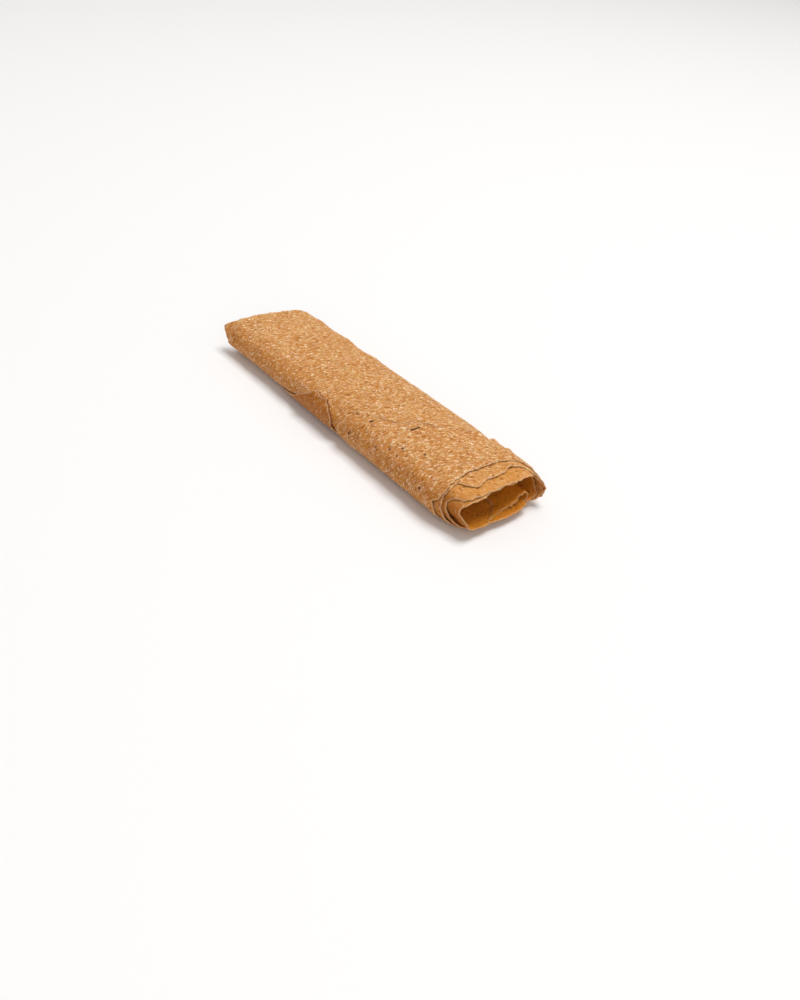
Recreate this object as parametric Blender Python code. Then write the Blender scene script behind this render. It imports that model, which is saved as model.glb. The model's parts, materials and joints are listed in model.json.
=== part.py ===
"""Lace crepe cookie: one thin crisp sheet rolled round and round, then pressed into a flat oval roll.

The roll lies along X and is open at both ends. Its front end is at +X, where the inner turns stand
out past the outer ones. Z is up, and the roll rests on the flattened underside.
"""
import math

import bmesh
import bpy
import numpy as np

MM = 0.001

# Driving dimensions of the roll.
ROLL_LENGTH = 78.0 * MM
BEND_RADIUS = 3.7 * MM
FLAT_HALF_WIDTH = 8.3 * MM
TOP_CROWN = 1.9 * MM
UNDERSIDE_CROWN = 0.7 * MM
FAR_END_HEIGHT_RATIO = 0.9

# The sheet and how it is wound. Angles count clockwise as seen from the front, from the middle of
# the innermost pass over the underside.
SHEET_THICKNESS = 0.32 * MM
TURN_PITCH = 0.45 * MM
OUTER_END_ANGLE = math.radians(1350.0)
FULL_TURN = math.radians(360.0)

# The inner end of the sheet: a tight fold at the right, then a tongue that sinks to the floor. They
# come before the wound part, so their columns have winding angles below its first one.
FOLD_SIDE = 7.0 * MM
FOLD_RADIUS = 1.0 * MM
FOLD_START_ANGLE = math.radians(-40.0)
FOLD_END_ANGLE = math.radians(-20.0)
TONGUE_START_ANGLE = math.radians(-120.0)
TONGUE_LENGTH = 8.8 * MM
TONGUE_DROP = 1.4 * MM
FOLD_COLUMNS = 6
TONGUE_COLUMNS = 4

# The torn front edge, as winding angles in degrees and places along the roll. The two inner turns
# stand out most. Each turn has a bay at its upper left bend, and the right bends stand out together.
FRONT_EDGE = (
    (-120.0, 45.8 * MM),
    (-100.0, 44.7 * MM),
    (-40.0, 44.3 * MM),
    (-10.0, 45.2 * MM),
    (0.0, 46.2 * MM),
    (85.0, 45.9 * MM),
    (125.0, 43.8 * MM),
    (165.0, 44.8 * MM),
    (190.0, 44.1 * MM),
    (225.0, 42.6 * MM),
    (260.0, 44.6 * MM),
    (360.0, 44.6 * MM),
    (410.0, 43.2 * MM),
    (470.0, 40.8 * MM),
    (495.0, 40.6 * MM),
    (510.0, 42.0 * MM),
    (522.0, 44.2 * MM),
    (550.0, 44.5 * MM),
    (580.0, 43.4 * MM),
    (620.0, 44.9 * MM),
    (700.0, 44.4 * MM),
    (800.0, 40.4 * MM),
    (886.0, 39.4 * MM),
    (895.0, 42.2 * MM),
    (930.0, 42.0 * MM),
    (990.0, 44.9 * MM),
    (1050.0, 44.5 * MM),
    (1140.0, 38.6 * MM),
    (1180.0, 37.9 * MM),
    (1230.0, 39.1 * MM),
    (1265.0, 38.8 * MM),
    (1290.0, 40.2 * MM),
    (1305.0, 41.8 * MM),
    (1350.0, 44.1 * MM),
)

# Far end: a slanted, wavy edge with a thin lip at its upper left corner.
FAR_MIDDLE = -37.4 * MM
FAR_SLANT = 0.07
FAR_RIPPLE = 0.4 * MM
LIP_REACH = 3.3 * MM
LIP_ANGLE = math.radians(137.0)
LIP_SPREAD = math.radians(30.0)

# The outer end of the sheet, as places along the roll and how far the last turn reaches there,
# unrolled from the middle of the underside. A torn flap stands on the left side, then comes a
# notch, and from there the edge crosses the top on a slant to the right bend.
OUTER_END = (
    (-16.0 * MM, 8.5 * MM),
    (-9.0 * MM, 13.3 * MM),
    (-3.0 * MM, 17.0 * MM),
    (1.0 * MM, 16.9 * MM),
    (5.5 * MM, 11.5 * MM),
    (8.7 * MM, 17.5 * MM),
    (11.0 * MM, 20.4 * MM),
    (18.2 * MM, 22.5 * MM),
    (22.0 * MM, 27.3 * MM),
    (31.2 * MM, 36.1 * MM),
    (38.0 * MM, 42.0 * MM),
)

# Gentle unevenness of the whole roll, and the flat spot that it rests on.
HEIGHT_WAVE = 0.012
WIDTH_WAVE = 0.008
SIDE_BOW = 0.25 * MM
FLAT_SPOT_DEPTH = 0.07 * MM

# Mesh fineness: columns go round the roll, and rows go across it where the outer end turns.
COLUMN_LENGTH = 2.4 * MM
COLUMN_BEND = math.radians(24.0)
ROWS_BEHIND_FLAP = 3
SNAP = 0.3 * MM
SECTION_SAMPLES = 1440


def section_point(angle, depth):
    """Return the (y, z) of the pressed oval, at the place that faces angle, at depth below its skin."""
    crown = np.where(np.sin(angle) >= 0.0, TOP_CROWN, UNDERSIDE_CROWN)
    across, up = np.cos(angle), np.sin(angle)
    size = np.sqrt((FLAT_HALF_WIDTH * across) ** 2 + (crown * up) ** 2)
    radius = BEND_RADIUS - depth
    y = radius * across + FLAT_HALF_WIDTH ** 2 * across / size
    z = radius * up + crown ** 2 * up / size
    return y, z


def turn_angles():
    """Return the winding angles of one turn's columns, close together in the bends."""
    winding = np.linspace(0.0, FULL_TURN, SECTION_SAMPLES + 1)
    y, z = section_point(-math.pi / 2 - winding, TURN_PITCH)
    length = np.hypot(np.diff(y), np.diff(z))
    cost = length / COLUMN_LENGTH + np.diff(winding) / COLUMN_BEND
    total = np.concatenate([[0.0], np.cumsum(cost)])
    count = 2 * round(total[-1] / 2)
    return np.interp(np.arange(count) * total[-1] / count, total, winding)


def wound_path(winding):
    """Return facing angle, y and z of the sheet's middle at a winding angle."""
    facing = -math.pi / 2 - winding
    depth = TURN_PITCH * (OUTER_END_ANGLE - winding) / FULL_TURN + SHEET_THICKNESS / 2
    y, z = section_point(facing, depth)
    return facing, y, z


def wound_columns():
    """Return winding angle, facing angle, y and z of the columns along the wound part."""
    one_turn = turn_angles()
    winding = np.concatenate([one_turn + FULL_TURN * turn for turn in (-1, 0, 1, 2, 3)])
    winding = np.append(winding[winding < OUTER_END_ANGLE - COLUMN_BEND / 2], OUTER_END_ANGLE)
    facing, y, z = wound_path(winding)
    started = (winding > -math.pi / 2) & ((winding >= 0.0) | (y <= FOLD_SIDE))
    return winding[started], facing[started], y[started], z[started]


def inner_end_columns(fold_y, floor_z):
    """Return the same four rows for the tongue and the tight fold that lead to the wound part."""
    along = np.linspace(1.0, 0.0, TONGUE_COLUMNS + 1)[:-1]
    tongue_z = floor_z + 2.0 * FOLD_RADIUS - TONGUE_DROP * np.sin(along * math.pi / 2)
    tongue_winding = FOLD_START_ANGLE + (TONGUE_START_ANGLE - FOLD_START_ANGLE) * along
    turn = np.linspace(math.pi / 2, -math.pi / 2, FOLD_COLUMNS + 1)[:-1]
    fold_z = floor_z + FOLD_RADIUS * (1.0 + np.sin(turn))
    fold_winding = np.linspace(FOLD_START_ANGLE, FOLD_END_ANGLE, FOLD_COLUMNS, endpoint=False)
    winding = np.concatenate([tongue_winding, fold_winding])
    facing = np.concatenate([np.full(TONGUE_COLUMNS, math.pi / 2), turn])
    y = np.concatenate([fold_y - TONGUE_LENGTH * along, fold_y + FOLD_RADIUS * np.cos(turn)])
    return winding, facing, y, np.concatenate([tongue_z, fold_z])


def ripple(distance, long_wave, short_wave, phase):
    """Return a smooth uneven wave of about unit height along a distance."""
    slow = np.sin(2.0 * math.pi * distance / long_wave + phase)
    quick = np.sin(2.0 * math.pi * distance / short_wave + 2.0 * phase)
    return (slow + quick) / 2.0


def bump(angle, middle, spread):
    """Return a round hump of height one over an angle, which wraps round each turn."""
    away = (angle - middle + math.pi) % FULL_TURN - math.pi
    return np.exp(-((away / spread) ** 2))


def front_edge(winding):
    """Return the x of the sheet's front edge."""
    angles, places = np.array(FRONT_EDGE).T
    return np.interp(winding, np.radians(angles), places)


def far_edge(winding, facing, y):
    """Return the x of the sheet's far edge."""
    lip = LIP_REACH * bump(facing, LIP_ANGLE, LIP_SPREAD)
    wave = FAR_RIPPLE * ripple(winding, 2.3, 1.2, 0.7)
    return FAR_MIDDLE + FAR_SLANT * y - lip + wave


def sheet_columns():
    """Return the sheet's columns: unrolled distance, facing angle, y, z, far edge and front edge."""
    wound = wound_columns()
    inner_end = inner_end_columns(wound[2][0], wound[3][0])
    winding, facing, y, z = [np.concatenate(pair) for pair in zip(inner_end, wound)]
    distance = np.concatenate([[0.0], np.cumsum(np.hypot(np.diff(y), np.diff(z)))])
    distance -= np.interp(OUTER_END_ANGLE - 0.75 * FULL_TURN, winding, distance)
    return distance, facing, y, z, far_edge(winding, facing, y), front_edge(winding)


def rows_and_reaches(distance):
    """Return each row's share of the way to the front, and how far the sheet is wound there."""
    places, reaches = np.array(OUTER_END).T
    behind = np.linspace(FAR_MIDDLE, places[0], ROWS_BEHIND_FLAP, endpoint=False)
    places = np.concatenate([behind, places])
    reaches = np.concatenate([np.full(len(behind), reaches[0]), reaches])
    shares = (places - FAR_MIDDLE) / (places[-1] - FAR_MIDDLE)
    nearest = distance[np.abs(distance[None, :] - reaches[:, None]).argmin(axis=1)]
    return shares, np.where(np.abs(nearest - reaches) < SNAP, nearest, reaches)


def cut_cell(corners, near, far):
    """Return the part of a cell of the flat sheet that lies inside the line from near to far."""
    def spare(point):
        share = (point[1] - near[1]) / (far[1] - near[1])
        return near[0] + (far[0] - near[0]) * share - point[0]

    kept = []
    for here, there in zip(corners, corners[1:] + corners[:1]):
        room, next_room = spare(here), spare(there)
        if room >= 0.0:
            kept.append(here)
        if (room > 0.0 > next_room) or (room < 0.0 < next_room):
            step = room / (room - next_room)
            kept.append((here[0] + step * (there[0] - here[0]), here[1] + step * (there[1] - here[1])))
    return kept


def flat_cells(distance):
    """Return the flat sheet as cells between its columns and rows, cut along its outer end."""
    shares, reaches = rows_and_reaches(distance)
    cells = []
    for row in range(len(shares) - 1):
        low, high = shares[row], shares[row + 1]
        for left, right in zip(distance[:-1], distance[1:]):
            corners = [(left, low), (right, low), (right, high), (left, high)]
            cell = cut_cell(corners, (reaches[row], low), (reaches[row + 1], high))
            if len(cell) > 2:
                cells.append(cell)
    return cells


def number_points(cells):
    """Return the cells' distinct points, and each cell as a list of their numbers."""
    numbers = {}
    numbered = []
    for cell in cells:
        keys = [(round(point[0], 9), round(point[1], 9)) for point in cell]
        cell_numbers = [numbers.setdefault(key, len(numbers)) for key in keys]
        numbered.append(list(dict.fromkeys(cell_numbers)))
    return np.array(list(numbers)), [cell for cell in numbered if len(cell) > 2]


def roll_up(flat_points, columns):
    """Return the outer and inner skins' points for points of the flat sheet."""
    distance = columns[0]
    facing, y, z, back, front = [np.interp(flat_points[:, 0], distance, value) for value in columns[1:]]
    x = back + (front - back) * flat_points[:, 1]
    half = SHEET_THICKNESS / 2
    outer = np.column_stack([x, y + half * np.cos(facing), z + half * np.sin(facing)])
    inner = np.column_stack([x, y - half * np.cos(facing), z - half * np.sin(facing)])
    return outer, inner


def roll_warp(points):
    """Return the points with the roll's taper, its gentle waves and a slight sideways bow."""
    x, y, z = points.T
    along = x / ROLL_LENGTH + 0.5
    height = FAR_END_HEIGHT_RATIO + (1.0 - FAR_END_HEIGHT_RATIO) * along
    height = height * (1.0 + HEIGHT_WAVE * np.sin(2.0 * math.pi * (1.3 * along + 0.1)))
    width = 1.0 + WIDTH_WAVE * np.sin(2.0 * math.pi * (1.1 * along + 0.55))
    bow = SIDE_BOW * np.sin(math.pi * along)
    return np.column_stack([x, y * width + bow, z * height])


def settle(points):
    """Return the points warped, standing on z = 0 with a flat spot, centred on the origin."""
    points = points.copy()
    points[:, 2] -= points[:, 2].min()
    points = roll_warp(points)
    points[:, 2] = np.where(points[:, 2] < FLAT_SPOT_DEPTH, 0.0, points[:, 2])
    middle = (points.min(axis=0) + points.max(axis=0)) / 2
    return points - np.array([middle[0], middle[1], 0.0])


def skin_faces(cells, count):
    """Return the triangles of both skins, and of the rim between them along the sheet's outline."""
    triangles = [(cell[0], cell[i], cell[i + 1]) for cell in cells for i in range(1, len(cell) - 1)]
    inner = [tuple(corner + count for corner in reversed(triangle)) for triangle in triangles]
    edges = {(cell[i - 1], cell[i]) for cell in cells for i in range(len(cell))}
    rim = []
    for start, end in sorted(edges):
        if (end, start) not in edges:
            rim.append((end, start, start + count))
            rim.append((end, start + count, end + count))
    return triangles + inner + rim


def crepe_material():
    """Return the baked crepe's material: light caramel tan, almost matt."""
    material = bpy.data.materials.new("baked_crepe")
    material.use_nodes = True
    shader = material.node_tree.nodes["Principled BSDF"]
    shader.inputs["Base Color"].default_value = (0.52, 0.25, 0.09, 1.0)
    shader.inputs["Roughness"].default_value = 0.6
    shader.inputs["Metallic"].default_value = 0.0
    return material


def face_outwards(mesh):
    """Turn every face of the closed mesh so that it points out of the solid."""
    shell = bmesh.new()
    shell.from_mesh(mesh)
    bmesh.ops.recalc_face_normals(shell, faces=shell.faces)
    shell.to_mesh(mesh)
    shell.free()


def build_crepe_roll():
    """Build the rolled sheet as one closed solid and return its object."""
    columns = sheet_columns()
    flat_points, cells = number_points(flat_cells(columns[0]))
    points = settle(np.concatenate(roll_up(flat_points, columns)))
    mesh = bpy.data.meshes.new("crepe_roll")
    mesh.from_pydata(points.tolist(), [], skin_faces(cells, len(flat_points)))
    face_outwards(mesh)
    mesh.materials.append(crepe_material())
    mesh.shade_smooth()
    mesh.set_sharp_from_angle(angle=math.radians(50.0))
    roll = bpy.data.objects.new("crepe_roll", mesh)
    bpy.context.collection.objects.link(roll)
    return roll


def clear_scene():
    """Remove every object that is already in the scene."""
    for leftover in list(bpy.data.objects):
        bpy.data.objects.remove(leftover, do_unlink=True)


clear_scene()
build_crepe_roll()
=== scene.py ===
"""Looks of a lace crepe cookie: one thin pitted sheet, torn at its edges, wound and pressed flat.

The sheet is laid out flat first, as unrolled distance by place along the roll. Its torn outline is
cut there, and the cut sheet is then wound up as a shell with two skins. A geometry node tree bakes
the pits and webs into it, and another scatters small blisters over its outermost turn.
"""
import json
import logging
import math
from dataclasses import dataclass
from enum import Enum

import bmesh
import bpy
import numpy as np
from mathutils import Matrix, Vector

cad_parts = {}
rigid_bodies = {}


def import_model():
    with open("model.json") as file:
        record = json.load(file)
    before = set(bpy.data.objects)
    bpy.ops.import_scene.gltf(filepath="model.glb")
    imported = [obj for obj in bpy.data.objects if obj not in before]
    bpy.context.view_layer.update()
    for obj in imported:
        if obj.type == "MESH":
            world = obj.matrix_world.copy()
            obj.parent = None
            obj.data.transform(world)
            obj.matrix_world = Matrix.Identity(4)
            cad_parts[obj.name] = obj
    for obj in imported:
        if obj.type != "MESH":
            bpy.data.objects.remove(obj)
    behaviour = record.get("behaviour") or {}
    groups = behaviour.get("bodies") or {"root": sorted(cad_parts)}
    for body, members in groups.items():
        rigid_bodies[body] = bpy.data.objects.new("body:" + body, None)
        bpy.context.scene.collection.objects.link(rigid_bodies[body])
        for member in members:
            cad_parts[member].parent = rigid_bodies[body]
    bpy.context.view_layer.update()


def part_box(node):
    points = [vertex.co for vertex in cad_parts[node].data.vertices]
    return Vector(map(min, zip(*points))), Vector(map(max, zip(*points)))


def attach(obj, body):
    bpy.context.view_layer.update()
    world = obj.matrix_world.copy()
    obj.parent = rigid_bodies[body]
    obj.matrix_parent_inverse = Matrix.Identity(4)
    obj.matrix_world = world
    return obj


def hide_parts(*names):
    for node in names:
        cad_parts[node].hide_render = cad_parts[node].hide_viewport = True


MM = 0.001
PER_MM = 1000.0
NODE = "crepe_roll"
BODY = "root"
FULL_TURN = 2.0 * math.pi
# The inner skin takes its pattern from this far below the outer skin's, in millimetres.
INNER_LAYER = 40.0
# Relief and blisters start and are full at these heights over the ground.
OFF_GROUND = (0.02 * MM, 0.35 * MM)
LOG = logging.getLogger("lace_crepe")

Array = np.ndarray
Rows = tuple[Array, Array, Array, Array]
Span = tuple[float, float]
Pairs = tuple[Span, ...]
Triple = tuple[float, float, float]
Socket = bpy.types.NodeSocket
Tree = bpy.types.NodeTree


def smooth_step(value: Array, low: float, high: float) -> Array:
    """Return 0 below low, 1 above high, and a smooth rise between them."""
    share = np.clip((value - low) / (high - low), 0.0, 1.0)
    return share * share * (3.0 - 2.0 * share)


@dataclass(frozen=True)
class Band:
    """A range that fades in at its start and out at its end."""

    start: float
    full: float
    fading: float
    end: float

    def at(self, value: Array) -> Array:
        """Return 1 inside the range, 0 outside it, and a smooth change at its ends."""
        return smooth_step(value, self.start, self.full) * (1.0 - smooth_step(value, self.fading, self.end))


@dataclass(frozen=True)
class Ripple:
    """A gentle rise and fall of one size along the roll."""

    share: float
    waves: float
    phase: float

    def at(self, along: Array) -> Array:
        """Return the size's factor at each place, counted from 0 to 1 along the roll."""
        return 1.0 + self.share * np.sin(FULL_TURN * (self.waves * along + self.phase))


@dataclass(frozen=True)
class Unevenness:
    """Smooth seeded noise, made of sine waves, for what is never quite even in baked food."""

    seed: int
    wavelength: float
    height: float
    waves: int = 9
    wave_shares: Span = (0.6, 1.6)

    def along(self, place: Array) -> Array:
        """Return the noise along one length, in the height's unit."""
        return self.over(place, np.zeros_like(place))

    def over(self, first: Array, second: Array) -> Array:
        """Return the noise over a surface.

        Args:
            first: Places along one direction.
            second: Places along the other direction.

        Returns:
            One height for each place.
        """
        draw = np.random.default_rng(self.seed)
        total = np.zeros_like(first)
        for _ in range(self.waves):
            turn, phase = draw.uniform(0.0, FULL_TURN, 2)
            number = FULL_TURN / (self.wavelength * draw.uniform(*self.wave_shares))
            total += np.sin(number * (first * math.cos(turn) + second * math.sin(turn)) + phase)
        return self.height * total / math.sqrt(self.waves)


def ragged(waves: tuple[Unevenness, ...], place: Array) -> Array:
    """Return the sum of several kinds of unevenness along one length."""
    return sum(wave.along(place) for wave in waves)


@dataclass(frozen=True)
class Bulge:
    """A place where a turn stands off its neighbours, strongest at the front end."""

    winding: float
    spread: float
    reach: float
    rise: float

    def lift(self, winding: Array, from_front: Array) -> Array:
        """Return the outward move at winding angles in degrees and distances from the front edge."""
        near = np.exp(-((winding - self.winding) / self.spread) ** 2)
        return self.rise * near * np.exp(-(np.maximum(from_front, 0.0) / self.reach) ** 2)


@dataclass
class RollForm:
    """The pressed oval spiral that the sheet follows, with the sizes of the solid."""

    roll_length: float = 78.0 * MM
    bend_radius: float = 3.7 * MM
    flat_half_width: float = 8.3 * MM
    top_crown: float = 1.9 * MM
    underside_crown: float = 0.7 * MM
    far_end_height_ratio: float = 0.9
    sheet_thickness: float = 0.32 * MM
    turn_pitch: float = 0.45 * MM
    outer_end_angle: float = math.radians(1350.0)
    underside_angle: float = math.radians(1080.0)
    fold_side: float = 7.0 * MM
    fold_radius: float = 1.0 * MM
    fold_start_angle: float = math.radians(-40.0)
    fold_end_angle: float = math.radians(-20.0)
    fold_points: int = 40
    floor_end_angle: float = math.radians(35.0)
    tongue_start_angle: float = math.radians(-120.0)
    tongue_length: float = 11.9 * MM
    tongue_rest: float = 0.2 * MM
    tongue_sinks_within: float = 0.55
    tongue_points: int = 60
    height_ripple: Ripple = Ripple(share=0.012, waves=1.3, phase=0.1)
    width_ripple: Ripple = Ripple(share=0.008, waves=1.1, phase=0.55)
    side_bow: float = 0.25 * MM
    angle_step: float = math.radians(0.25)
    lumps: Unevenness = Unevenness(seed=5, wavelength=17.0 * MM, height=0.1 * MM)
    dimples: Unevenness = Unevenness(seed=6, wavelength=5.5 * MM, height=0.075 * MM)
    # How much shorter lumps and dimples are across the roll, and dimples up its sides.
    lump_squeeze: float = 1.5
    dimple_squeeze: float = 1.4
    side_squeeze: float = 1.6
    uneven_above: Span = (1.0 * MM, 6.0 * MM)
    uneven_side: Span = (8.0 * MM, 10.5 * MM)
    bulges: tuple[Bulge, ...] = (
        Bulge(winding=62.0, spread=34.0, reach=9.0 * MM, rise=-0.75 * MM),
        Bulge(winding=180.0, spread=25.0, reach=9.0 * MM, rise=-0.3 * MM),
        Bulge(winding=540.0, spread=14.0, reach=9.0 * MM, rise=-0.24 * MM),
        Bulge(winding=897.0, spread=9.0, reach=7.0 * MM, rise=-0.1 * MM),
    )
    fit_places: int = 25
    fit_stride: int = 20

    def __post_init__(self) -> None:
        """Work out the path from the tongue's tip to the outer end."""
        wound = self.wound_path()
        inner = self.inner_path(wound)
        self.winding, self.facing, self.y, self.z = [np.concatenate(pair) for pair in zip(inner, wound)]
        steps = np.hypot(np.diff(self.y), np.diff(self.z))
        self.distance = np.concatenate([[0.0], np.cumsum(steps)])
        self.distance -= np.interp(self.underside_angle, self.winding, self.distance)
        self.ground = self.z.min() - self.sheet_thickness / 2
        self.shift = np.zeros(3)

    def section_point(self, angle: Array, depth: Array) -> tuple[Array, Array]:
        """Return where the pressed oval faces an angle.

        Args:
            angle: The angles that it faces.
            depth: How far each point lies below the oval's skin.

        Returns:
            The points' y and z.
        """
        crown = np.where(np.sin(angle) >= 0.0, self.top_crown, self.underside_crown)
        across, up = np.cos(angle), np.sin(angle)
        size = np.sqrt((self.flat_half_width * across) ** 2 + (crown * up) ** 2)
        radius = self.bend_radius - depth
        y = radius * across + self.flat_half_width ** 2 * across / size
        z = radius * up + crown ** 2 * up / size
        return y, z

    def wound_path(self) -> Rows:
        """Return winding angle, facing angle, y and z along the wound part."""
        winding = np.arange(-math.pi / 2, self.outer_end_angle + self.angle_step / 2, self.angle_step)
        facing = -math.pi / 2 - winding
        inwards = (self.outer_end_angle - winding) / FULL_TURN
        y, z = self.section_point(facing, self.turn_pitch * inwards + self.sheet_thickness / 2)
        started = (winding >= 0.0) | (y <= self.fold_side)
        return winding[started], facing[started], y[started], z[started]

    def inner_path(self, wound: Rows) -> Rows:
        """Return the same four rows for the tongue and the fold that lead to the wound part.

        Args:
            wound: The wound part's rows, whose start is the floor of the hollow.

        Returns:
            Winding angle, facing angle, y and z.
        """
        fold_y, floor_z = wound[2][0], wound[3][0]
        along = np.linspace(1.0, 0.0, self.tongue_points, endpoint=False)
        floor = wound[0] < self.floor_end_angle
        below = np.interp(fold_y - self.tongue_length * along, wound[2][floor][::-1], wound[3][floor][::-1])
        sunk = np.sin(np.minimum(along / self.tongue_sinks_within, 1.0) * math.pi / 2)
        tongue_z = (below + self.tongue_rest) * sunk + (floor_z + 2.0 * self.fold_radius) * (1.0 - sunk)
        tongue_winding = self.fold_start_angle + (self.tongue_start_angle - self.fold_start_angle) * along
        count = self.fold_points
        turn = np.linspace(math.pi / 2, -math.pi / 2, count, endpoint=False)
        fold_z = floor_z + self.fold_radius * (1.0 + np.sin(turn))
        fold_winding = np.linspace(self.fold_start_angle, self.fold_end_angle, count, endpoint=False)
        winding = np.concatenate([tongue_winding, fold_winding])
        facing = np.concatenate([np.full_like(along, math.pi / 2), turn])
        y = np.concatenate([fold_y - self.tongue_length * along, fold_y + self.fold_radius * np.cos(turn)])
        return winding, facing, y, np.concatenate([tongue_z, fold_z])

    def degrees_at(self, distance: Array) -> Array:
        """Return the winding angle in degrees at an unrolled distance."""
        return np.degrees(np.interp(distance, self.distance, self.winding))

    def facing_at(self, distance: Array) -> Array:
        """Return the angle that the sheet faces at an unrolled distance."""
        return np.interp(distance, self.distance, self.facing)

    def y_at(self, distance: Array) -> Array:
        """Return the plain roll's y at an unrolled distance."""
        return np.interp(distance, self.distance, self.y)

    def distance_at(self, degrees: Array) -> Array:
        """Return the unrolled distance at a winding angle in degrees."""
        return np.interp(np.radians(degrees), self.winding, self.distance)

    def warp(self, points: Array) -> Array:
        """Give points of the plain roll its taper, its gentle waves, lumps and sideways bow.

        Args:
            points: The points, one in each row.

        Returns:
            The moved points.
        """
        x, y, z = points.T
        along = x / self.roll_length + 0.5
        height = self.far_end_height_ratio + (1.0 - self.far_end_height_ratio) * along
        height = height * self.height_ripple.at(along)
        bow = self.side_bow * np.sin(math.pi * along)
        uneven = self.lumps.over(x, y * self.lump_squeeze) + self.dimples.over(x, y * self.dimple_squeeze + z)
        raised = smooth_step(z, *self.uneven_above) * uneven
        pushed = np.sign(y) * self.dimples.over(x, z * self.side_squeeze)
        pushed = smooth_step(np.abs(y), *self.uneven_side) * pushed
        return np.column_stack([x, y * self.width_ripple.at(along) + bow + pushed, z * height + raised])

    def wind(self, distance: Array, x: Array, lift: Array) -> tuple[Array, Array]:
        """Wind points of the flat sheet up.

        Args:
            distance: Unrolled distance of each point.
            x: Place of each point along the roll.
            lift: How far each point stands off the sheet's middle, outwards.

        Returns:
            The points in the roll, and the outward direction at each of them.
        """
        facing = self.facing_at(distance)
        across, up = np.cos(facing), np.sin(facing)
        y = self.y_at(distance) + lift * across
        z = np.interp(distance, self.distance, self.z) + lift * up - self.ground
        points = self.warp(np.column_stack([x, y, z])) + self.shift
        points[:, 2] = np.maximum(points[:, 2], 0.0)
        return points, np.column_stack([np.zeros_like(across), across, up])

    def fit_to(self, low: Vector, high: Vector, ends: Span) -> None:
        """Move the roll so that it fills the solid's box.

        Args:
            low: The box's lowest corner.
            high: The box's highest corner.
            ends: The roll's own lowest and highest place along X.
        """
        path = self.distance[::self.fit_stride]
        x = np.repeat(np.linspace(ends[0], ends[1], self.fit_places), len(path))
        distance = np.tile(path, self.fit_places)
        points, _ = self.wind(distance, x, np.full_like(x, self.sheet_thickness / 2))
        middle_y = (points[:, 1].min() + points[:, 1].max()) / 2
        self.shift[0] = (low.x + high.x) / 2 - sum(ends) / 2
        self.shift[1] = (low.y + high.y) / 2 - middle_y


@dataclass(frozen=True)
class Slit:
    """A hole baked or torn through the sheet, round or long, in millimetres of the flat sheet."""

    distance: float
    x: float
    radius: float
    half_length: float = 0.0
    turn: float = 0.0

    def room(self, distance: Array, x: Array) -> Array:
        """Return how far each place is from the slit's edge.

        Args:
            distance: Unrolled distance of each place.
            x: The places along the roll.

        Returns:
            The room in metres, below zero inside the slit.
        """
        across_roll, along_roll = distance - self.distance * MM, x - self.x * MM
        along = across_roll * math.sin(self.turn) + along_roll * math.cos(self.turn)
        across = across_roll * math.cos(self.turn) - along_roll * math.sin(self.turn)
        past_end = np.maximum(np.abs(along) - self.half_length * MM, 0.0)
        return np.hypot(past_end, across) - self.radius * MM


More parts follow.
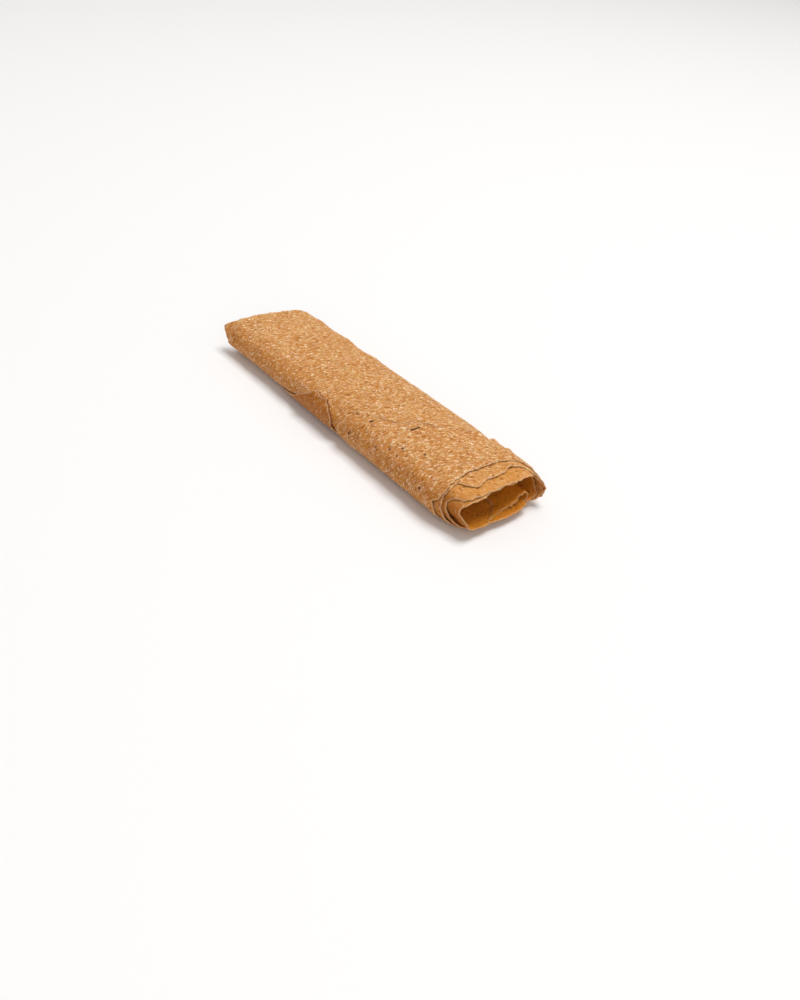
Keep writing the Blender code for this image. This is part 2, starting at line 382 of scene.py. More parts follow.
@dataclass
class TornOutline:
    """The flat sheet's torn outline, with its holes."""

    form: RollForm
    # The front edge, as winding angles in degrees and places along the roll in millimetres.
    front: Pairs = (
        (-120, 45.9), (-101, 45.2), (-90, 44.6), (-74, 44.3), (-54, 44.2), (-40, 44.2), (-22, 44.6),
        (-10, 45.2), (-3, 45.9), (0, 46.2), (24, 46.0), (60, 45.6), (85, 45.9), (105, 45.1), (118, 44.1),
        (135, 43.7), (155, 44.1), (166, 44.8), (177, 44.5), (190, 44.1), (205, 43.2), (225, 42.6),
        (245, 43.2), (262, 43.2), (285, 43.8), (305, 44.6), (360, 44.6), (385, 44.2), (410, 43.2),
        (440, 41.6), (464, 40.9), (480, 40.5), (494, 40.6), (502, 41.0), (508, 41.8), (515, 43.3),
        (522, 44.1), (535, 44.6), (550, 44.5), (580, 43.6), (605, 45.2), (640, 45.5), (700, 44.6),
        (760, 42.4), (796, 40.5), (815, 39.8), (840, 39.7), (862, 39.5), (880, 39.3),
        (886, 39.5), (888.5, 41.0), (893, 42.5), (896, 42.0), (898, 41.7), (901, 42.2), (904, 41.6),
        (908, 40.9), (918, 41.4), (932, 42.2), (945, 43.9), (985, 45.7), (1024, 45.4), (1050, 44.6),
        (1085, 42.6), (1130, 39.2), (1150, 38.5), (1170, 38.4), (1178, 37.8), (1186, 38.1), (1196, 38.9),
        (1210, 39.0), (1228, 39.2), (1240, 38.8), (1252, 38.7), (1262, 38.9), (1268, 39.3), (1276, 39.7),
        (1290, 40.2), (1302, 41.7), (1322, 43.0), (1350, 44.0),
    )
    # The outer end of the sheet, as places along the roll and how far it is wound there, in
    # millimetres from the middle of the underside: a torn flap, a notch, then a slant over the top.
    outer_end: Pairs = (
        (-48.0, 8.0), (-30.0, 8.8), (-18.0, 8.6), (-15.6, 10.2), (-15.0, 11.4), (-12.0, 12.1), (-9.2, 13.4),
        (-5.6, 15.5), (-4.2, 16.8), (-2.8, 17.2), (0.8, 17.0), (2.4, 16.4), (4.2, 14.6), (5.5, 11.6),
        (6.6, 11.8), (7.2, 13.2), (8.3, 16.0), (8.8, 18.6), (11.0, 20.6), (14.6, 21.2), (18.2, 22.5),
        (20.0, 25.0), (21.4, 26.9), (24.2, 28.3), (26.4, 31.8), (28.4, 33.9), (31.2, 36.1), (38.0, 42.0),
        (46.0, 46.0),
    )
    # The inner end is torn off on a slant: places along the roll and how much is gone there.
    inner_end: Pairs = ((36.0, 6.6), (41.7, 5.8), (42.7, 4.8), (44.1, 2.9), (45.3, 1.2), (46.6, -1.0))
    far_middle: float = -37.4 * MM
    far_slant: float = 0.07
    lip_reach: float = 3.3 * MM
    lip_angle: float = math.radians(137.0)
    lip_spread: float = math.radians(30.0)
    tip_wave: Unevenness = Unevenness(seed=12, wavelength=0.95 * MM, height=0.1 * MM)
    end_waves: tuple[Unevenness, ...] = (
        Unevenness(seed=11, wavelength=2.6 * MM, height=0.14 * MM),
        tip_wave,
        Unevenness(seed=13, wavelength=0.5 * MM, height=0.055 * MM),
    )
    far_waves: tuple[Unevenness, ...] = (
        Unevenness(seed=21, wavelength=9.0 * MM, height=0.35 * MM),
        Unevenness(seed=22, wavelength=1.7 * MM, height=0.12 * MM),
        Unevenness(seed=23, wavelength=0.7 * MM, height=0.06 * MM),
    )
    slits: tuple[Slit, ...] = (
        Slit(17.1, 22.5, 0.15), Slit(18.9, 24.6, 0.15), Slit(17.0, 25.2, 0.13), Slit(20.9, 29.1, 0.17),
        Slit(14.8, 33.9, 0.2), Slit(18.3, 2.5, 0.14), Slit(15.7, 19.3, 0.14), Slit(27.5, 34.0, 0.13),
        Slit(2.4, 45.0, 0.12),
        Slit(19.4, 13.7, 0.13, half_length=0.2, turn=1.2), Slit(22.6, 16.9, 0.12, half_length=0.3, turn=1.4),
        Slit(14.6, 10.9, 0.15, half_length=0.3, turn=1.0), Slit(21.6, 12.8, 0.11, half_length=0.4, turn=1.3),
        Slit(23.8, 21.7, 0.12, half_length=0.35, turn=1.1), Slit(24.7, 22.0, 0.1, half_length=0.5, turn=1.5),
        Slit(30.0, 17.0, 0.09, half_length=0.6, turn=0.95), Slit(32.0, 18.4, 0.1, half_length=0.7, turn=0.9),
        Slit(31.0, 20.0, 0.14, half_length=0.3, turn=1.5),
    )

    def front_edge(self, distance: Array) -> Array:
        """Return the place of the front edge at each unrolled distance."""
        degrees, (angles, places) = self.form.degrees_at(distance), np.array(self.front).T
        return np.interp(degrees, angles, places * MM) + ragged(self.end_waves, distance)

    def plain_far_edge(self, facing: Array, y: Array) -> Array:
        """Return the place of the far edge before it is torn, where the sheet faces an angle at y."""
        away = (facing - self.lip_angle + math.pi) % FULL_TURN - math.pi
        return self.far_middle + self.far_slant * y - self.lip_reach * np.exp(-(away / self.lip_spread) ** 2)

    def far_edge(self, distance: Array) -> Array:
        """Return the place of the far edge at each unrolled distance."""
        plain = self.plain_far_edge(self.form.facing_at(distance), self.form.y_at(distance))
        return plain + ragged(self.far_waves, distance)

    def end_edge(self, x: Array) -> Array:
        """Return how far the sheet is wound at each place along the roll."""
        places, reaches = np.array(self.outer_end).T * MM
        return np.interp(x, places, reaches) + ragged(self.end_waves, x)

    def room(self, distance: Array, x: Array) -> Array:
        """Return how far inside the torn outline each place is.

        Args:
            distance: Unrolled distance of each place.
            x: The places along the roll.

        Returns:
            The room to the nearest edge in metres, below zero outside the outline.
        """
        places, torn_off = np.array(self.inner_end).T * MM
        tip = self.form.distance[0] + np.interp(x, places, torn_off) + self.tip_wave.along(x)
        inside = np.minimum(self.front_edge(distance) - x, x - self.far_edge(distance))
        wound = np.minimum(self.end_edge(x) - distance, distance - tip)
        return np.minimum.reduce([inside, wound, self.slit_room(distance, x)])

    def slit_room(self, distance: Array, x: Array) -> Array:
        """Return how far each place is from the nearest slit."""
        return np.minimum.reduce([slit.room(distance, x) for slit in self.slits])

    def ends(self) -> Span:
        """Return the lowest and highest place of the plain outline along the roll."""
        far = self.plain_far_edge(self.form.facing, self.form.y)
        return float(far.min()), max(place for _, place in self.front) * MM


@dataclass
class FlatPanel:
    """One stretch of the flat sheet, as a lattice that is cut along the torn outline."""

    columns: Array
    rows: Array
    snap_share: float = 0.5
    crossing_slope: float = 0.5

    def cut(self, outline: TornOutline) -> tuple[Array, Array, Array, list[list[int]]]:
        """Cut the lattice along the outline, with the lattice points next to it moved onto it.

        Points of the first and last column, where a crossing edge is moved, stay in their column.

        Args:
            outline: The sheet's torn outline.

        Returns:
            Each kept point's distance, x and room to the outline, and the cells by point number.
        """
        distance, x = [side.copy() for side in np.meshgrid(self.columns, self.rows, indexing="ij")]
        room = outline.room(distance, x)
        slope_d, slope_x = np.gradient(room, self.columns, self.rows)
        steepness = np.maximum(np.hypot(slope_d, slope_x), 1.0)
        room = room / steepness
        cell = np.minimum(np.gradient(self.columns)[:, None], np.gradient(self.rows)[None, :])
        edge = np.abs(room) <= self.snap_share * cell
        edge[[0, -1], :] = edge[[0, -1], :] & (np.abs(slope_x[[0, -1], :]) > self.crossing_slope)
        move = np.where(edge, room / steepness, 0.0)
        moved_d = np.where(edge, distance - move * slope_d, distance)
        moved_d[[0, -1], :] = distance[[0, -1], :]
        x = np.where(edge, x - move * slope_x, x)
        outside = (room < 0.0) & ~edge
        cells = self.kept_cells(outside, room)
        used = np.unique(np.concatenate([np.array(corners) for corners in cells]))
        renumber = np.full(room.size, -1)
        renumber[used] = np.arange(len(used))
        cells = [[int(renumber[point]) for point in corners] for corners in cells]
        inner_room = np.where(edge, 0.0, room)
        return moved_d.ravel()[used], x.ravel()[used], inner_room.ravel()[used], cells

    @staticmethod
    def kept_cells(outside: Array, room: Array) -> list[list[int]]:
        """Return the cells that lie inside, whole or as triangles.

        Args:
            outside: Which lattice points are cut away.
            room: Each lattice point's room to the outline.

        Returns:
            The cells, as numbers of lattice points in order round each cell.
        """
        numbers = np.arange(room.size).reshape(room.shape)
        corners = [numbers[:-1, :-1], numbers[1:, :-1], numbers[1:, 1:], numbers[:-1, 1:]]
        corners = np.stack([corner.ravel() for corner in corners], axis=1)
        gone = outside.ravel()[corners]
        has_room = np.where(gone, 0.0, room.ravel()[corners]).sum(axis=1) > 0.0
        whole = (gone.sum(axis=1) == 0) & has_room
        three = (gone.sum(axis=1) == 1) & has_room
        triangles = [cell[~lost].tolist() for cell, lost in zip(corners[three], gone[three])]
        return corners[whole].tolist() + triangles


@dataclass
class BrowningAndPaintedShade:
    """Where the baked sheet is deeper, lighter, burned or painted with shade. Windings are in degrees."""

    form: RollForm
    outline: TornOutline
    hollow_ends: Span = (-40.0, 20.0)
    thin_across: Span = (9.0 * MM, 10.5 * MM)
    thin_along: Span = (42.5 * MM, 44.0 * MM)
    thin_loss: float = 0.5
    half_open_from: Span = (560.0, 700.0)
    open_from: Span = (940.0, 1000.0)
    sheltered_along: Span = (36.0 * MM, 38.0 * MM)
    slit_border: Span = (0.05 * MM, 0.24 * MM)
    end_border: Span = (0.1 * MM, 0.45 * MM)
    end_along: Band = Band(12.5 * MM, 14.5 * MM, 29.0 * MM, 33.0 * MM)
    end_share: float = 0.8
    seam_line: Band = Band(-0.3 * MM, 0.0, 0.12 * MM, 0.45 * MM)
    seam_around: Band = Band(740.0, 750.0, 980.0, 988.0)
    seam_share: float = 0.75
    flap_along: Band = Band(-16.5 * MM, -15.5 * MM, 3.0 * MM, 6.0 * MM)
    flap_from: Span = (7.0 * MM, 8.5 * MM)

    def layers(self, distance: Array, x: Array) -> dict[str, Array]:
        """Return every tone, painted shade too, for the outer skin's points and then the inner one's.

        Args:
            distance: Unrolled distance of each point of one skin.
            x: Place of each point along the roll.

        Returns:
            The tones from 0 to 1, by the names of their attributes.
        """
        degrees = self.form.degrees_at(distance)
        thin = smooth_step(self.form.y_at(distance), *self.thin_across) * smooth_step(x, *self.thin_along)
        # The hollow's deep orange tone, on the tongue and every inner skin, is partly a browner inside and
        # partly painted shade and warm bounce light; at the thin right bend less is laid, as painted light
        # coming through the sheet.
        hollow = [1.0 - smooth_step(degrees, *self.hollow_ends), 1.0 - self.thin_loss * thin]
        openness = (smooth_step(degrees, *self.half_open_from) + smooth_step(degrees, *self.open_from)) / 2
        # Painted shade on the front of the inner turns, which lie under the outer ones.
        sheltered = (1.0 - openness) * smooth_step(x, *self.sheltered_along)
        # Dark rims round the holes: partly burned, partly painted shade of the holes.
        slits = 1.0 - smooth_step(self.outline.slit_room(distance, x), *self.slit_border)
        # A dark line along the outer end: partly a browned edge, partly painted shadow of the gap under it.
        end = 1.0 - smooth_step(self.outline.end_edge(x) - distance, *self.end_border)
        end = self.end_share * self.end_along.at(x) * end
        flap = self.flap_along.at(x) * smooth_step(distance, *self.flap_from)
        return {
            "hollow": np.concatenate(hollow),
            "sheltered": np.concatenate([sheltered, np.zeros_like(x)]),
            "burnt": np.tile(np.maximum.reduce([slits, end, self.seam(degrees, x)]), 2),
            "flap": np.tile(flap, 2),
        }

    def seam(self, degrees: Array, x: Array) -> Array:
        """Return how far each point of the third turn lies in the painted shadow line under the outer end."""
        line = self.seam_line.at(self.form.distance_at(degrees + 360.0) - self.outline.end_edge(x))
        return self.seam_share * line * self.seam_around.at(degrees)


class Turn(Enum):
    """The stretches of the sheet that are made as pieces, from the inside out."""

    INNER = "crepe_inner_turns"
    THIRD_LEFT = "crepe_third_turn_left"
    THIRD_RIGHT = "crepe_third_turn_right"
    LAST_UNDER = "crepe_last_turn_under"
    LAST_LEFT = "crepe_last_turn_left"
    LAST_RIGHT = "crepe_last_turn_right"


@dataclass(frozen=True)
class Stretch:
    """Where a piece starts and ends, in winding degrees, and how finely it is made."""

    turn: Turn
    start: float
    end: float
    step: float
    fine_ends: bool = False


@dataclass
class CrepeSheet:
    """The whole rolled sheet, built as one closed shell for each stretch."""

    form: RollForm
    outline: TornOutline
    tones_and_painted_shade: BrowningAndPaintedShade
    thickness: float = 0.33 * MM
    edge_thickness: float = 0.16 * MM
    edge_width: float = 0.5 * MM
    fine_front: float = 11.0 * MM
    fine_far: float = 4.0 * MM
    middle_step: float = 1.2 * MM
    billow: Unevenness = Unevenness(seed=31, wavelength=7.0 * MM, height=0.045 * MM)
    crinkle: Unevenness = Unevenness(seed=32, wavelength=2.6 * MM, height=0.03 * MM)
    crinkle_stretch: float = 0.6
    frill: Unevenness = Unevenness(seed=33, wavelength=3.4 * MM, height=1.0)
    # The torn edges curl up where the sheet faces up. The outer end does so most, with a crest, and
    # the front edges lie closer to the turn below from the second turn on.
    curl_rise: float = 0.06 * MM
    curl_reach: float = 0.8 * MM
    facing_up: Span = (-0.6, 0.5)
    end_rise: float = 0.32 * MM
    end_frill: float = 0.6
    crest_along: Band = Band(5.5 * MM, 8.0 * MM, 12.0 * MM, 15.0 * MM)
    edge_rest: float = 0.09 * MM
    rest_from_degrees: Span = (440.0, 500.0)
    even_tip_degrees: Span = (-115.0, -60.0)
    shaded_side_facing: Span = (0.2, 0.9)
    stretches: tuple[Stretch, ...] = (
        Stretch(Turn.INNER, -120.0, 745.0, 0.28 * MM, fine_ends=True),
        Stretch(Turn.THIRD_LEFT, 745.0, 898.0, 0.18 * MM),
        Stretch(Turn.THIRD_RIGHT, 898.0, 1040.0, 0.18 * MM),
        Stretch(Turn.LAST_UNDER, 1040.0, 1130.0, 0.2 * MM),
        Stretch(Turn.LAST_LEFT, 1130.0, 1252.0, 0.13 * MM),
        Stretch(Turn.LAST_RIGHT, 1252.0, 1350.0, 0.13 * MM),
    )
    reach: Span = (-43.5 * MM, 47.6 * MM)
    past_tip: float = 0.6 * MM

    def panel(self, stretch: Stretch) -> FlatPanel:
        """Return the lattice of one stretch, fine all over or only near its two ends.

        Args:
            stretch: The stretch of the sheet.

        Returns:
            The lattice before it is cut.
        """
        start, end = float(self.form.distance_at(stretch.start)), float(self.form.distance_at(stretch.end))
        if stretch.turn is Turn.INNER:
            start -= self.past_tip
        columns = np.linspace(start, end, round((end - start) / stretch.step) + 1)
        low, high = self.reach
        if not stretch.fine_ends:
            return FlatPanel(columns, np.linspace(low, high, round((high - low) / stretch.step) + 1))
        places = [low, low + self.fine_far, high - self.fine_front, high]
        steps = [stretch.step, self.middle_step, stretch.step]
        parts = []
        for first, last, step in zip(places[:-1], places[1:], steps):
            parts.append(np.linspace(first, last, round((last - first) / step), endpoint=False))
        return FlatPanel(columns, np.concatenate([*parts, [high]]))

    def lift(self, distance: Array, x: Array, room: Array) -> Array:
        """Return how far the sheet's middle stands off its plain spiral.

        Args:
            distance: Unrolled distance of each point.
            x: Place of each point along the roll.
            room: How far each point is from the torn outline.

        Returns:
            The outward move, in metres.
        """
        degrees = self.form.degrees_at(distance)
        from_front = self.outline.front_edge(distance) - x
        total = self.billow.over(distance, x) + self.crinkle.over(distance, x * self.crinkle_stretch)
        total = total * smooth_step(degrees, *self.even_tip_degrees)
        for bulge in self.form.bulges:
            total = total + bulge.lift(degrees, from_front)
        upwards = smooth_step(np.sin(self.form.facing_at(distance)), *self.facing_up)
        frill = self.frill.over(distance, x)
        curl = self.curl_rise * frill * np.exp(-np.maximum(room, 0.0) / self.curl_reach)
        rest = self.edge_rest * smooth_step(degrees, *self.rest_from_degrees)
        rest = rest * np.exp(-np.maximum(from_front, 0.0) / self.curl_reach)
        from_end = np.maximum(self.outline.end_edge(x) - distance, 0.0)
        end = self.end_rise * (1.0 + self.crest_along.at(x) + self.end_frill * frill)
        return total + upwards * (curl + end * np.exp(-from_end / self.curl_reach) - rest)

    def build(self, stretch: Stretch) -> bpy.types.Object:
        """Build one stretch as a closed shell, with its flat coordinates and tones as attributes.

        Args:
            stretch: Which part of the sheet to build.

        Returns:
            The new object.
        """
        panel = self.panel(stretch)
        distance, x, room, cells = panel.cut(self.outline)
        inside = smooth_step(room, 0.0, self.edge_width)
        full = self.thickness / 2
        taper = (self.thickness - self.edge_thickness) * (1.0 - np.sqrt(inside))
        middle = self.lift(distance, x, room)
        outer, outward = self.form.wind(distance, x, middle + full - taper)
        inner, _ = self.form.wind(distance, x, middle - full)
        mesh = bpy.data.meshes.new(stretch.turn.value)
        mesh.from_pydata(np.concatenate([outer, inner]).tolist(), [], shell_faces(cells, len(distance)))
        mark_seam(mesh, np.tile(np.isin(distance, panel.columns[[0, -1]]), 2))
        flat = np.column_stack([distance * PER_MM, x * PER_MM, np.zeros_like(x)])
        outward = np.concatenate([outward, -outward])
        layers = {
            "flat_mm": np.concatenate([flat, flat + np.array([0.0, 0.0, INNER_LAYER])]),
            "outward": outward,
            "inside": np.tile(inside, 2),
            # Points whose outward side faces -Y, away from the key light; the finish paints shade on them
            "side": smooth_step(-outward[:, 1], *self.shaded_side_facing),
        }
        for name, values in (layers | self.tones_and_painted_shade.layers(distance, x)).items():
            store(mesh, name, values)
        mesh.shade_smooth()
        return add_object(mesh)


def shell_faces(cells: list[list[int]], count: int) -> list[tuple[int, ...]]:
    """Return the faces of both skins and of the rim between them.

    Args:
        cells: The flat sheet's cells, as numbers of its points.
        count: How many points one skin has.

    Returns:
        The faces of the closed shell, pointing out of it.
    """
    outer = [tuple(cell) for cell in cells]
    inner = [tuple(point + count for point in reversed(cell)) for cell in cells]
    edges = {(cell[i - 1], cell[i]) for cell in cells for i in range(len(cell))}
    border = sorted((start, end) for start, end in edges if (end, start) not in edges)
    return outer + inner + [(end, start, start + count, end + count) for start, end in border]


def mark_seam(mesh: bpy.types.Mesh, seam: Array) -> None:
    """Make the edges along a seam between two pieces sharp, so that the shading runs on over it.

    Args:
        mesh: The piece's mesh.
        seam: Which of its points lie on a seam.
    """
    ends = np.zeros(len(mesh.edges) * 2, np.int32)
    mesh.edges.foreach_get("vertices", ends)
    sharp = seam[ends.reshape(-1, 2)].all(axis=1)
    mesh.attributes.new("sharp_edge", "BOOLEAN", "EDGE").data.foreach_set("value", sharp)


def store(mesh: bpy.types.Mesh, name: str, values: Array) -> None:
    """Store one number or one vector for each point of a mesh.

    Args:
        mesh: The piece's mesh.
        name: The attribute's name.
        values: The numbers, or the vectors in rows.
    """
    kind, key = ("FLOAT_VECTOR", "vector") if values.ndim == 2 else ("FLOAT", "value")
    layer = mesh.attributes.new(name, kind, "POINT")
    layer.data.foreach_set(key, values.astype(np.float32).ravel())


def add_object(data: bpy.types.ID) -> bpy.types.Object:
    """Put a mesh, a light or a camera into the scene.

    Args:
        data: The mesh, light or camera, which gives its name too.

    Returns:
        The new object.
    """
    thing = bpy.data.objects.new(data.name, data)
    bpy.context.collection.objects.link(thing)
    return thing


class Sketch:
    """Adds and links nodes in a shader tree or a geometry tree."""

    def __init__(self, tree: Tree) -> None:
        """Keep the tree that the nodes go into."""
        self.tree = tree

    def add(
        self, kind: str, *inputs: object, named: dict[str, object] | None = None, **settings: object
    ) -> bpy.types.Node:
        """Add a node.

        Args:
            kind: Blender's name for the node.
            *inputs: A value or a socket for each input in order, or None to leave one as it is.
            named: A value or a socket for some inputs by name.
            **settings: The node's own settings.

        Returns:
            The new node.
        """
        node = self.tree.nodes.new(kind)
        for name, value in settings.items():
            setattr(node, name, value)
        for socket, value in zip(node.inputs, inputs):
            self.feed(socket, value)
        self.plug(node, named or {})
        return node

    def plug(self, node: bpy.types.Node, named: dict[str, object]) -> None:
        """Link or set some of a node's inputs by name."""
        for name, value in named.items():
            self.feed(node.inputs[name], value)

    def feed(self, socket: Socket, value: object) -> None:
        """Link or set one input.

        Args:
            socket: The input.
            value: The socket to link to it, its value, or None to leave it as it is.
        """
        if isinstance(value, Socket):
            self.tree.links.new(value, socket)
        elif value is not None:
            socket.default_value = value

    def math(self, operation: str, *values: object) -> Socket:
        """Return the result of a maths node."""
        return self.add("ShaderNodeMath", *values, operation=operation).outputs[0]

    def vector(self, operation: str, *values: object) -> Socket:
        """Return the vector result of a vector maths node."""
        return self.add("ShaderNodeVectorMath", *values, operation=operation).outputs[0]

    def scaled(self, vector: object, factor: object) -> Socket:
        """Return a vector times a number."""
        return self.add("ShaderNodeVectorMath", vector, named={"Scale": factor}, operation="SCALE").outputs[0]

    def ramp(self, value: object, low: float, high: float) -> Socket:
        """Return a smooth rise from 0 at low to 1 at high, or a fall if low is the larger."""
        node = self.add("ShaderNodeMapRange", value, low, high, 0.0, 1.0, interpolation_type="SMOOTHSTEP")
        return node.outputs[0]

    def noise(self, vector: object, scale: float, detail: float = 2.0) -> bpy.types.Node:
        """Return a noise texture node."""
        return self.add("ShaderNodeTexNoise", named={"Vector": vector, "Scale": scale, "Detail": detail})

    def cells(self, vector: object, spacing: float) -> Socket:
        """Return how far each place is from the middle of the nearest of scattered cells."""
        node = self.add("ShaderNodeTexVoronoi", named={"Vector": vector, "Scale": 1.0 / spacing})
        return node.outputs["Distance"]

    def mixed(self, factor: object, first: object, second: object) -> Socket:
        """Return a mix of two colours, whose inputs come after those for numbers and vectors."""
        others = [None] * 5
        return self.add("ShaderNodeMix", factor, *others, first, second, data_type="RGBA").outputs[2]


@dataclass(frozen=True)
class PorePattern:
    """The lacy pits and blisters of the baked batter, in millimetres of the flat sheet.

    Each edge says where a mask starts and is full, as distances from a cell's middle in spacings.
    """

    pit_spacing: float = 0.8
    pit_edge: Span = (0.3, 0.1)
    fine_spacing: float = 0.38
    fine_edge: Span = (0.5, 0.16)
    dash_spacing: float = 0.9
    dash_edge: Span = (0.34, 0.1)
    fleck_spacing: float = 0.66
    fleck_edge: Span = (0.3, 0.12)
    glint_edge: Span = (0.16, 0.05)
    fleck_shift: Triple = (17.0, 5.0, 3.0)
    lace_scale: float = 1.9
    lace_detail: float = 4.0
    lace_roughness: float = 0.6
    wander: float = 0.9
    wander_scale: float = 0.9
    patch_scale: float = 0.5
    patch_range: float = 1.3
    dash_patches: float = 0.5
    fleck_patches: float = 0.4
    slant: float = math.radians(27.0)
    stretch: Triple = (0.85, 1.1, 1.0)
    dash_stretch: Triple = (0.38, 1.7, 1.0)
    lace_stretch: Triple = (0.6, 1.25, 1.0)

    def draw(self, sketch: Sketch, flat: Socket) -> dict[str, Socket]:
        """Draw the pattern's nodes.

        Args:
            sketch: The tree to draw in, for shading or for geometry.
            flat: The flat sheet's coordinates in millimetres.

        Returns:
            Masks named lace, pits, fine_pits, dashes, flecks and glints.
        """
        angle = {"Angle": -self.slant}
        turned = sketch.add("ShaderNodeVectorRotate", flat, named=angle, rotation_type="Z_AXIS").outputs[0]
        drift = sketch.noise(flat, self.wander_scale).outputs["Color"]
        drift = sketch.scaled(sketch.vector("SUBTRACT", drift, (0.5, 0.5, 0.5)), self.wander)
        drifted = sketch.vector("ADD", turned, drift)
        place = sketch.vector("MULTIPLY", drifted, self.stretch)
        uneven = sketch.noise(flat, self.patch_scale).outputs[0]
        size = sketch.math("MULTIPLY_ADD", uneven, self.patch_range, -self.patch_range / 2)
        pits = sketch.math("SUBTRACT", sketch.cells(place, self.pit_spacing), size)
        fine = sketch.math("ADD", sketch.cells(place, self.fine_spacing), size)
        dashes = sketch.cells(sketch.vector("MULTIPLY", drifted, self.dash_stretch), self.dash_spacing)
        dashes = sketch.math("ADD", dashes, sketch.math("MULTIPLY", size, self.dash_patches))
        flecks = sketch.cells(sketch.vector("ADD", place, self.fleck_shift), self.fleck_spacing)
        flecks = sketch.math("SUBTRACT", flecks, sketch.math("MULTIPLY", size, self.fleck_patches))
        lace_place = sketch.vector("MULTIPLY", drifted, self.lace_stretch)
        lace = sketch.noise(lace_place, self.lace_scale, self.lace_detail)
        sketch.plug(lace, {"Roughness": self.lace_roughness})
        return {
            "lace": lace.outputs[0],
            "pits": sketch.ramp(pits, *self.pit_edge),
            "fine_pits": sketch.ramp(fine, *self.fine_edge),
            "dashes": sketch.ramp(dashes, *self.dash_edge),
            "flecks": sketch.ramp(flecks, *self.fleck_edge),
            "glints": sketch.ramp(flecks, *self.glint_edge),
        }


def new_group(name: str, kind: str, inputs: dict[str, str], outputs: dict[str, str]) -> Tree:
    """Make a node group with named sockets.

    Args:
        name: The group's name.
        kind: ShaderNodeTree or GeometryNodeTree.
        inputs: Each input's name and socket type.
        outputs: Each output's name and socket type.

    Returns:
        The group, with its input and output nodes in place.
    """
    tree = bpy.data.node_groups.new(name, kind)
    for side, sockets in (("INPUT", inputs), ("OUTPUT", outputs)):
        for socket_name, socket_type in sockets.items():
            tree.interface.new_socket(name=socket_name, in_out=side, socket_type=socket_type)
    tree.nodes.new("NodeGroupInput")
    tree.nodes.new("NodeGroupOutput")
    return tree


def geometry_tree(name: str, values: dict[str, float]) -> Tree:
    """Make a geometry tree with a geometry, a material and one named input for each value.

    Args:
        name: The tree's name.
        values: The value for each of its numbers.

    Returns:
        The tree, with its input and output nodes in place.
    """
    inputs = {"Geometry": "NodeSocketGeometry", "Material": "NodeSocketMaterial"}
    for label, value in values.items():
        inputs[label] = "NodeSocketInt" if isinstance(value, int) else "NodeSocketFloat"
    return new_group(name, "GeometryNodeTree", inputs, {"Geometry": "NodeSocketGeometry"})


def finish_tree(sketch: Sketch, geometry: object, material: object) -> None:
    """End a geometry tree: real geometry for every instance, then the material.

    Args:
        sketch: The tree's sketch.
        geometry: The geometry to put out.
        material: The material's socket.
    """
    real = sketch.add("GeometryNodeRealizeInstances", geometry)
    painted = sketch.add("GeometryNodeSetMaterial", real.outputs[0], named={"Material": material})
    sketch.feed(sketch.tree.nodes["Group Output"].inputs[0], painted.outputs[0])


def apply_tree(piece: bpy.types.Object, tree: Tree, values: dict[str, object]) -> None:
    """Run a geometry node tree on a piece and keep the result as its mesh.

    Args:
        piece: The piece to change.
        tree: The tree to run.
        values: A value for each named input.
    """
    modifier = piece.modifiers.new(tree.name, "NODES")
    modifier.node_group = tree
    for item in tree.interface.items_tree:
        if item.item_type == "SOCKET" and item.in_out == "INPUT" and item.name in values:
            modifier[item.identifier] = values[item.name]
    evaluated = piece.evaluated_get(bpy.context.evaluated_depsgraph_get())
    mesh = bpy.data.meshes.new_from_object(evaluated)
    piece.modifiers.clear()
    mesh.name = piece.name
    piece.data = mesh


def stored(sketch: Sketch, name: str, kind: str = "FLOAT") -> Socket:
    """Return a stored attribute of the piece in a geometry tree."""
    return sketch.add("GeometryNodeInputNamedAttribute", named={"Name": name}, data_type=kind).outputs[0]


def off_ground(sketch: Sketch) -> Socket:
    """Return 0 where the sheet touches the ground and 1 from a third of a millimetre up."""
    place = sketch.add("ShaderNodeSeparateXYZ", sketch.add("GeometryNodeInputPosition").outputs[0])
    return sketch.ramp(place.outputs["Z"], *OFF_GROUND)


